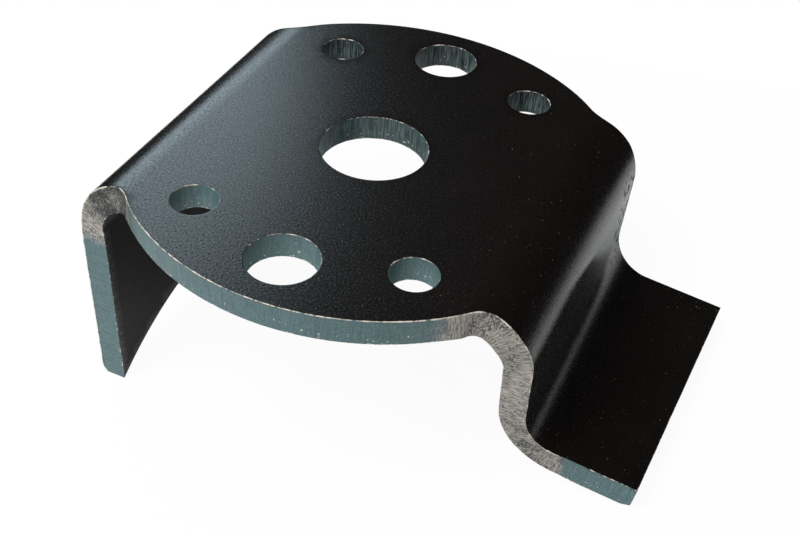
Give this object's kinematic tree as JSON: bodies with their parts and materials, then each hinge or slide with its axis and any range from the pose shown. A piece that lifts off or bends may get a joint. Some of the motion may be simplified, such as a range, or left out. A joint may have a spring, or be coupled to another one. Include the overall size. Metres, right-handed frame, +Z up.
{
  "type": "front axle bracket",
  "caption": "Bent steel plate bracket: a round body with a centre bore and bolt holes, an arched flange bent down on one side, a narrowing S-bent foot on the other.",
  "frame": {"origin": "centre of the bore on the top face of the body", "axes": "+X towards the foot, +Z up along the bore, out of the top face, +Y to the rear"},
  "size_m": [0.222, 0.185, 0.1],
  "materials": {
    "steel_plate": "hot-rolled plate with dark mill scale on its faces, satin, and bare grey cut edges"
  },
  "bodies": {
    "root": {"axle_bracket": "steel_plate"}
  },
  "joints": []
}
